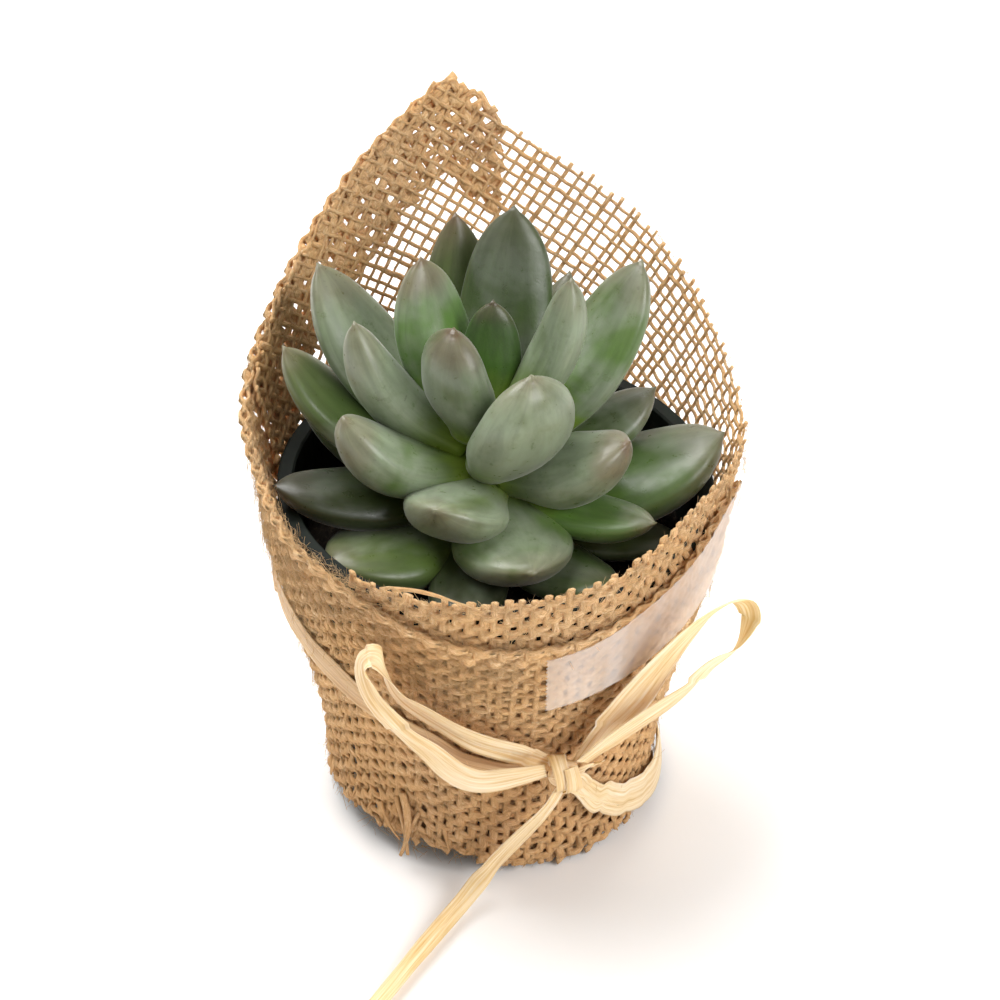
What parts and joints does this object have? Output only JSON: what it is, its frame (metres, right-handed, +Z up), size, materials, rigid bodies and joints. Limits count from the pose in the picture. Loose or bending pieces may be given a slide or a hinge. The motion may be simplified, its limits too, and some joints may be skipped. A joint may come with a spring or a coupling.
{
  "type": "potted succulent wrapped in burlap",
  "caption": "Rosette succulent with thick pointed leaves in a plastic nursery pot, wrapped in burlap with a raised pointed back and tied with a raffia bow.",
  "frame": {"origin": "centre of the pot's base, on the surface the pot stands on", "axes": "+Z up, -Y towards the front, where the bow is, +Y towards the raised back of the wrapper, +X to the viewer's right"},
  "size_m": [0.1007, 0.1407, 0.1316],
  "materials": {
    "leaf": "satin",
    "stem": "matte",
    "soil": "matte",
    "pot_plastic": "satin",
    "burlap": "matte",
    "tape": "satin",
    "raffia": "satin"
  },
  "bodies": {
    "root": {"leaf_01": "leaf", "leaf_02": "leaf", "leaf_03": "leaf", "leaf_04": "leaf", "leaf_05": "leaf", "leaf_06": "leaf", "leaf_07": "leaf", "leaf_08": "leaf", "leaf_09": "leaf", "leaf_10": "leaf", "leaf_11": "leaf", "leaf_12": "leaf", "leaf_13": "leaf", "leaf_14": "leaf", "leaf_15": "leaf", "leaf_16": "leaf", "leaf_17": "leaf", "leaf_18": "leaf", "leaf_19": "leaf", "leaf_20": "leaf", "leaf_21": "leaf", "leaf_22": "leaf", "leaf_23": "leaf", "leaf_24": "leaf", "leaf_25": "leaf", "leaf_26": "leaf", "leaf_27": "leaf", "leaf_28": "leaf", "leaf_29": "leaf", "leaf_30": "leaf", "leaf_31": "leaf", "nursery_pot": "pot_plastic", "potting_soil": "soil", "stem": "stem", "burlap_wrap": "burlap", "tape_strip": "tape", "raffia_band": "raffia", "raffia_knot": "raffia", "raffia_loop_left": "raffia", "raffia_loop_right": "raffia", "raffia_tail_short": "raffia", "raffia_tail_long": "raffia"}
  },
  "joints": []
}
